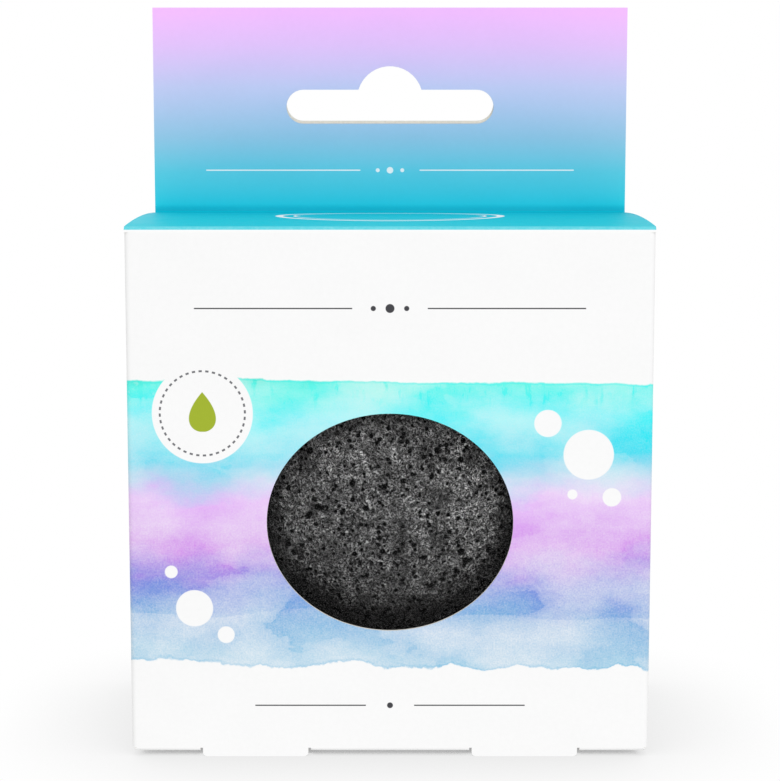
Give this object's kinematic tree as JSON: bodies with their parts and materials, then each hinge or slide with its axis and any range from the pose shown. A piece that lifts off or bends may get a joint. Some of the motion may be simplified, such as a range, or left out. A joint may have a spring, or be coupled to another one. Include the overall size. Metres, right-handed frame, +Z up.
{
  "type": "konjac face sponge in a windowed hanging carton",
  "caption": "Round konjac face sponge inside a folded board carton with an oval film window, a hanging header with a hook slot, and a tuck closure at the bottom.",
  "frame": {"origin": "middle of the footprint, on the level of the two front feet", "axes": "+X to the right as the window is seen, +Y from the window to the back, +Z up to the header"},
  "size_m": [0.073, 0.04, 0.1063],
  "materials": {
    "white_print": "satin",
    "aqua_print": "satin",
    "header_print": "satin",
    "plain_board": "matte",
    "clear_film": "gloss",
    "glue": "satin",
    "konjac_foam": "matte"
  },
  "bodies": {
    "root": {"front_panel": "white_print", "left_side_panel": "white_print", "right_side_panel": "white_print", "back_panel": "white_print", "seam_flap": "plain_board", "top_panel": "aqua_print", "header_front": "header_print", "top_dust_flap_left": "plain_board", "top_dust_flap_right": "plain_board", "window_film": "clear_film", "window_adhesive": "glue", "seam_adhesive": "glue", "header_adhesive": "glue"},
    "closure": {"bottom_closure": "white_print"},
    "tuck": {"tuck_flap": "plain_board"},
    "left_dust": {"bottom_dust_flap_left": "plain_board"},
    "right_dust": {"bottom_dust_flap_right": "plain_board"},
    "sponge": {"sponge": "konjac_foam"}
  },
  "joints": [
    {"name": "closure_hinge", "type": "hinge", "parent": "root", "child": "closure", "pos_m": [0, -0.02, 0.00122], "axis": [-1, 0, 0], "range_deg": [0, 120]},
    {"name": "tuck_hinge", "type": "hinge", "parent": "closure", "child": "tuck", "pos_m": [0, 0.01805, 0.00122], "axis": [1, 0, 0], "range_deg": [0, 90]},
    {"name": "left_dust_hinge", "type": "hinge", "parent": "root", "child": "left_dust", "pos_m": [-0.0365, 0, 0.00182], "axis": [0, 1, 0], "range_deg": [0, 90]},
    {"name": "right_dust_hinge", "type": "hinge", "parent": "root", "child": "right_dust", "pos_m": [0.0365, 0, 0.00182], "axis": [0, -1, 0], "range_deg": [0, 90]},
    {"name": "sponge_slide", "type": "slide", "parent": "root", "child": "sponge", "axis": [0, 0, -1], "range_m": [0, 0.0377]}
  ],
  "couplings": [
    {"joint": "closure_hinge", "follows": "sponge_slide", "rad_per_m": 55.5},
    {"joint": "tuck_hinge", "follows": "sponge_slide", "rad_per_m": 41.6},
    {"joint": "left_dust_hinge", "follows": "sponge_slide", "rad_per_m": 41.6},
    {"joint": "right_dust_hinge", "follows": "sponge_slide", "rad_per_m": 41.6}
  ]
}
